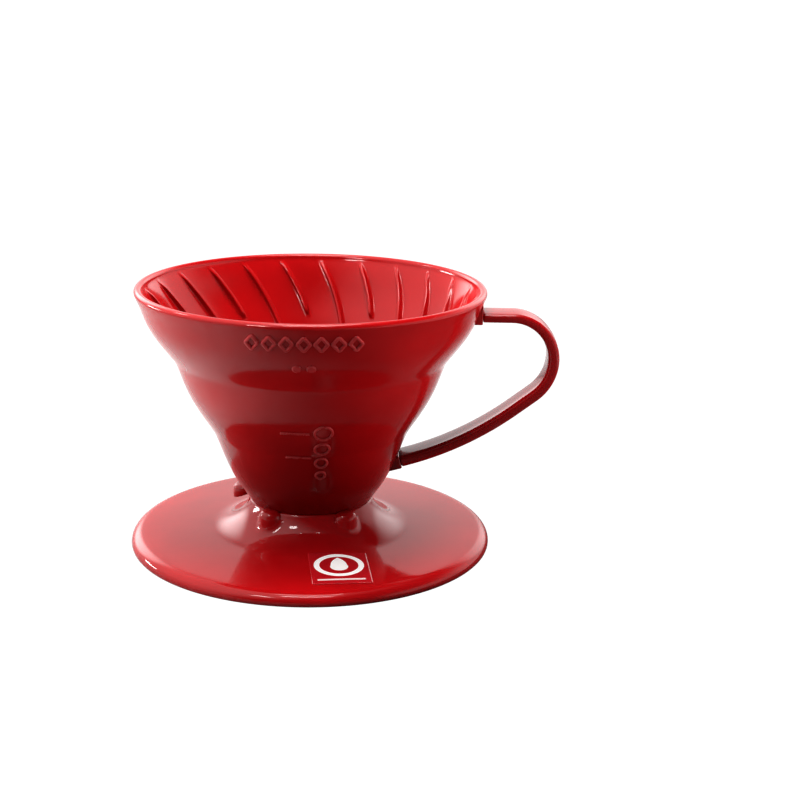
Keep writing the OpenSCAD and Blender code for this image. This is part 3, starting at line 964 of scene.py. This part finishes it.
def print_mask(sh, uv):
    """Mask of the white ink: a ring, a drop inside it, and a bar near the lower edge."""
    x, y, _ = sh.xyz(uv)

    def distance(cx, cy):
        dx = sh.multiply(sh.maths("SUBTRACT", x, cx), PRINT_STRETCH)
        dy = sh.multiply(sh.maths("SUBTRACT", y, cy), PRINT_STRETCH)
        return sh.maths("SQRT", sh.add(sh.multiply(dx, dx), sh.multiply(dy, dy)))

    def inside(value, limit, soft=0.07):
        return sh.map_range(value, source=(limit + soft, limit - soft))

    def tip_arc(offset):
        return inside(distance(PRINT_X + offset, PRINT_Y - DROP_ARC_DOWN), DROP_ARC_R)

    outer, inner = (inside(distance(PRINT_X, PRINT_Y), radius) for radius in PRINT_RING_R)
    ring = sh.multiply(outer, sh.one_minus(inner))
    belly = inside(distance(PRINT_X, PRINT_Y - DROP_BELLY_DOWN), DROP_BELLY_R)
    above = inside(sh.multiply(y, -1.0), -(PRINT_Y - DROP_TIP_DOWN))
    arcs = sh.multiply(tip_arc(-DROP_ARC_OUT), tip_arc(DROP_ARC_OUT))
    drop = sh.maximum(belly, sh.multiply(arcs, above))
    bar_y = inside(sh.maths("ABSOLUTE", sh.add(y, BAR_Y)), BAR_HALF_H, soft=0.1)
    bar_x = inside(sh.maths("ABSOLUTE", sh.add(x, BAR_X)), BAR_HALF_W, soft=0.15)
    bar = sh.multiply(bar_y, bar_x)
    return sh.maximum(sh.maximum(ring, drop), sh.multiply(bar, BAR_INK))


def label_print(name):
    """Printed film: white ink on a red ground. Texture coordinates are mm."""
    material = bpy.data.materials.new(name)
    sh = Shader(material)
    uv = sh.node("UVMap", uv_map="mm").outputs[0]
    rays = sh.node("LightPath").outputs
    white = print_mask(sh, uv)
    grain = sh.noise(uv, scale=3.2, detail=4.0)
    ground = sh.ramp(grain, low=(0.3, (0.60, 0.010, 0.018)), high=(0.7, (0.68, 0.014, 0.024)))
    ink = sh.ramp(grain, low=(0.3, (0.94, 0.92, 0.91)), high=(0.7, (0.98, 0.97, 0.96)))
    dim = sh.one_minus(sh.multiply(rays["Is Glossy Ray"], PRINT_GLOSSY_LOSS))
    colour = sh.scale(sh.mix(white, ground, ink), dim)
    glow = sh.multiply(sh.multiply(white, rays["Is Camera Ray"]), INK_GLOW)
    roughness = sh.add(sh.map_range(grain, target=(0.10, 0.19)), sh.multiply(white, INK_ROUGH))
    # bump distances are in metres
    wave = sh.noise(uv, scale=0.35, detail=1.0)
    normal = sh.bump(wave, strength=0.2, distance=0.0004)
    normal = sh.bump(white, strength=0.3, distance=0.00003, normal=normal)
    film = sh.node("BsdfPrincipled", {
        "Base Color": colour, "Roughness": roughness, "Normal": normal,
        "Emission Color": (1.0, 0.97, 0.96, 1), "Emission Strength": glow})
    sh.node("OutputMaterial", {0: film.outputs[0]})
    return material


# ---------------------------------------------------------------- the pieces
cone_plastic = red_plastic("cone_plastic", base=(0.50, 0.003, 0.005), rough=0.11, ripple=0.14,
                           shade=0.62)
# painted sheen: the marks are the cone's red plastic, given a paler, pinker red for the light they
# catch; the higher roughness is their duller finish
mark_plastic = red_plastic("mark_plastic", base=(0.60, 0.03, 0.034), rough=0.24, ripple=0.14,
                           shade=0.45)
# painted light: the plate is the same red plastic as the cone, given a lighter red so it looks more
# brightly lit
plate_plastic = red_plastic("plate_plastic", base=(0.58, 0.004, 0.007), rough=0.07, ripple=0.06)
# painted shade: the strap is the same red plastic as the cone, given a darker red that dims it as it
# is lit
handle_plastic = red_plastic("handle_plastic", base=(0.35, 0.003, 0.005), rough=0.13, ripple=0.10)
label_ink = label_print("label_print")


def piece(obj, material, cad_name=None, name=None):
    """Gives a piece its material and place in the frame, then its final name."""
    obj.data.materials.append(material)
    if cad_name:
        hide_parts(cad_name)
    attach(obj, "root")
    if name:
        obj.name = name
    return obj


cone = piece(make_cone(), cone_plastic, cad_name="cone_body", name="cone_shell")
upper_pieces = [cone]
for obj in (make_top_block(), make_low_block()):
    upper_pieces.append(piece(obj, cone_plastic))
for obj in make_marks():
    upper_pieces.append(piece(obj, mark_plastic))
upper_pieces.append(piece(make_handle(), handle_plastic, cad_name="handle", name="handle_strap"))
plate = piece(make_plate(), plate_plastic, cad_name="base_plate", name="plate_shell")
film = piece(make_label(), label_ink, cad_name="label", name="label_film")


# ---------------------------------------------------------------- floor
FLOOR_HALF, FLOOR_POINTS, FLOOR_Z = 3000, 25, -0.02
# share of the floor's bounce, low in front and on the right, full on the left and behind
BOUNCE_WEIGHTS = (-0.8, 0.6)           # of x and y
BOUNCE_SPAN, BOUNCE_SHARE = (-0.075, 0.052), (0.07, 0.76)     # spans are in metres
FAR_SPAN, FAR_SHARE = (0.15, 0.24), (0.0, 0.8)   # the bounce comes back far off on the right
RIGHT_SPAN, RIGHT_GLOW = (0.03, 0.08), (0.0, 0.9)  # extra light for dull rays, on the right
BOUNCE_LIFT = 0.42                     # extra light for dull rays, per share of bounce


def floor_material():
    material = bpy.data.materials.new("floor_pale")
    sh = Shader(material)
    rays = sh.node("LightPath").outputs
    geometry = sh.node("NewGeometry").outputs
    pos = sh.node("TexCoord").outputs["Object"]
    grain = sh.noise(pos, scale=8.0, detail=4.0)
    colour = sh.ramp(grain, low=(0.3, (0.83,) * 3), high=(0.7, (0.87,) * 3))

    x, y, _ = sh.xyz(geometry["Position"])
    side = sh.add(sh.multiply(x, BOUNCE_WEIGHTS[0]), sh.multiply(y, BOUNCE_WEIGHTS[1]))
    share = sh.maximum(sh.step(side, source=BOUNCE_SPAN, target=BOUNCE_SHARE),
                       sh.step(x, source=FAR_SPAN, target=FAR_SHARE))
    # dull rays feel the share twice
    dull = rays["Is Diffuse Ray"]
    level = sh.multiply(share, sh.one_minus(sh.multiply(dull, sh.one_minus(share))))
    extra = sh.add(sh.multiply(level, BOUNCE_LIFT),
                   sh.step(x, source=RIGHT_SPAN, target=RIGHT_GLOW))

    def add_shaders(colour, glow):
        diffuse = sh.node("BsdfDiffuse", {"Color": colour})
        light = sh.node("Emission", {"Color": (1, 1, 1, 1), "Strength": glow})
        return sh.node("AddShader", {0: diffuse.outputs[0], 1: light.outputs[0]}).outputs[0]

    def pick(factor, first, second):
        return sh.node("MixShader", {0: factor, 1: first, 2: second}).outputs[0]

    pale = add_shaders(sh.scale(colour, level), sh.multiply(dull, extra))
    # the camera sees an almost even white with faint shadows
    seen = add_shaders((0.035, 0.035, 0.035, 1), 0.965)
    surface = pick(rays["Is Camera Ray"], pale, seen)
    # from below the floor is clear, so that the underside can be looked at
    from_below = sh.maths("LESS_THAN", sh.xyz(geometry["Incoming"])[2], 0.0)
    surface = pick(from_below, surface, sh.node("BsdfTransparent").outputs[0])
    sh.node("OutputMaterial", {0: surface})
    return material


def make_floor():
    steps = np.linspace(-FLOOR_HALF, FLOOR_HALF, FLOOR_POINTS)
    points = [(x, y, FLOOR_Z) for y in steps for x in steps]
    floor = add_mesh("floor", points, grid_faces(FLOOR_POINTS, FLOOR_POINTS, wrap_cols=False),
                     smooth=False)
    floor.data.materials.append(floor_material())
    floor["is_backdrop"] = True


# ---------------------------------------------------------------- world
WORLD_STRENGTH = 1.0
WORLD_BASE = 0.05
SOFT_DIRECTION = (0.6, 0.1, 0.79)      # weights of -x, y and z
# two soft lamps low down behind, the left one stronger: direction, strength
BACK_LAMPS = [((-0.53, 0.77, 0.35), 3.2), ((0.45, 0.82, 0.36), 1.2)]


def make_world():
    """A pale backdrop behind, paler sides low down, and a broad soft source up on the left."""
    world = bpy.data.worlds.new("studio")
    bpy.context.scene.world = world
    sh = Shader(world)
    x, y, z = sh.xyz(sh.node("TexCoord").outputs["Generated"])
    left_x = sh.multiply(x, -1.0)
    back = sh.multiply(sh.step(y, source=(-0.1, 0.45), target=(0.0, 1.15)),
                       sh.step(z, source=(0.36, 0.75), target=(1.0, 0.0)))
    left = sh.multiply(sh.step(left_x, source=(0.55, 0.9), target=(0.0, 0.8)),
                       sh.step(z, source=(0.2, 0.5), target=(1.0, 0.0)))
    right = sh.multiply(sh.step(x, source=(0.6, 0.95), target=(0.0, 0.8)),
                        sh.step(z, source=(0.3, 0.6), target=(1.0, 0.0)))
    soft = sh.step(sh.dot((left_x, y, z), SOFT_DIRECTION), source=(0.4, 0.95), target=(0.0, 1.3))
    level = sh.maximum(sh.maximum(back, left), right)
    level = sh.add(sh.maximum(level, soft), WORLD_BASE)
    for direction, strength in BACK_LAMPS:
        lamp = sh.step(sh.dot((x, y, z), direction), source=(0.93, 0.995), target=(0.0, strength))
        level = sh.add(level, lamp)
    seen = sh.maximum(level, sh.node("LightPath").outputs["Is Camera Ray"])
    background = sh.node("Background", {"Color": (1, 1, 1, 1),
                                        "Strength": sh.multiply(seen, WORLD_STRENGTH)})
    sh.node("OutputWorld", {0: background.outputs[0]})


# ---------------------------------------------------------------- lights
def receivers(name, objects):
    """A collection that limits a light to these objects."""
    group = bpy.data.collections.new(name)
    for obj in objects:
        group.objects.link(obj)
    return group


def area(name, at, aim, width, power, height=None, diffuse=True, glossy=True, only=None,
         first_hit=False):
    """A rectangular light. Without a height it keeps Blender's default. first_hit allows no
    light by way of another reflection."""
    light = bpy.data.lights.new(name, "AREA")
    light.shape = "RECTANGLE"
    light.size = width * MM
    if height is not None:
        light.size_y = height * MM
    light.energy = power
    if first_hit:
        light.cycles.max_bounces = 0
    obj = bpy.data.objects.new(name, light)
    bpy.context.scene.collection.objects.link(obj)
    at, aim = Vector(at) * MM, Vector(aim) * MM
    obj.location = at
    obj.rotation_euler = (aim - at).to_track_quat("-Z", "Y").to_euler()
    obj.visible_diffuse = diffuse
    obj.visible_glossy = glossy
    if only is not None:
        obj.light_linking.receiver_collection = only


def make_lights():
    plate_only = receivers("front_box_receivers", (plate, film))
    cone_only = receivers("rim_light_receivers", (cone,))
    all_but_plate = receivers("side_fill_receivers", upper_pieces)
    area("window_left", at=(-600, 30, 150), aim=(0, 0, 50), width=250, height=170, power=2.1,
         glossy=False, only=all_but_plate)
    area("strip_left", at=(-560, 210, 112), aim=(0, 0, 70), width=150, height=50, power=0.5,
         diffuse=False)
    area("overhead", at=(0, 70, 620), aim=(0, 0, 40), width=250, height=340, power=1.5)
    area("overhead_fill", at=(0, -120, 590), aim=(0, 0, 20), width=300, power=1.9, glossy=False)
    area("rim_box", at=(0, -264, 620), aim=(0, 0, 40), width=250, height=50, power=0.8,
         diffuse=False, first_hit=True)
    area("front_box", at=(-240, -358, 500), aim=(0, 0, 20), width=110, height=60, power=0.34,
         diffuse=False, only=plate_only, first_hit=True)
    area("fill_right", at=(600, 60, 220), aim=(0, 0, 40), width=250, power=2.0, glossy=False,
         only=all_but_plate)
    area("rib_box", at=(-282, -455, 365), aim=(0, 30, 60), width=130, height=50, power=1.0,
         diffuse=False, only=cone_only, first_hit=True)
    area("lip_box", at=(-464, 149, 475), aim=(-20, -20, 70), width=130, height=40, power=0.3,
         diffuse=False, only=cone_only, first_hit=True)


# ---------------------------------------------------------------- camera
CAMERA_AT = (23.6973, -406.6943, 157.0532)
CAMERA_PITCH, CAMERA_YAW, CAMERA_ROLL = 0.2785, 0.0019, 0.0188   # radians; pitch is downwards
CAMERA_LENS, CAMERA_SENSOR = 68.9783, 36.0


def make_camera(scene):
    forward = Vector((math.sin(CAMERA_YAW) * math.cos(CAMERA_PITCH),
                      math.cos(CAMERA_YAW) * math.cos(CAMERA_PITCH), -math.sin(CAMERA_PITCH)))
    level_right = Vector((math.cos(CAMERA_YAW), -math.sin(CAMERA_YAW), 0))
    level_up = level_right.cross(forward)
    c, s = math.cos(CAMERA_ROLL), math.sin(CAMERA_ROLL)
    right = c * level_right + s * level_up
    up = -s * level_right + c * level_up
    data = bpy.data.cameras.new("camera")
    data.sensor_fit = "HORIZONTAL"
    data.sensor_width = CAMERA_SENSOR
    data.lens = CAMERA_LENS
    data.clip_start = 0.01
    data.clip_end = 20.0
    camera = bpy.data.objects.new("camera", data)
    scene.collection.objects.link(camera)
    place = Vector(CAMERA_AT) * MM
    rows = [(right[i], up[i], -forward[i], place[i]) for i in range(3)]
    camera.matrix_world = Matrix((*rows, (0, 0, 0, 1)))
    scene.camera = camera


make_floor()
make_world()
make_lights()
scene = bpy.context.scene
scene.view_settings.view_transform = "Standard"
scene.view_settings.look = "None"
scene.view_settings.exposure = 0.12
scene.view_settings.gamma = 0.86
make_camera(scene)


def box_list(box):
    return [[float(c) for c in v] if hasattr(v, "__len__") else float(v) for v in box]


{"cad": box_list(cad_box), "visual": box_list(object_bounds())}
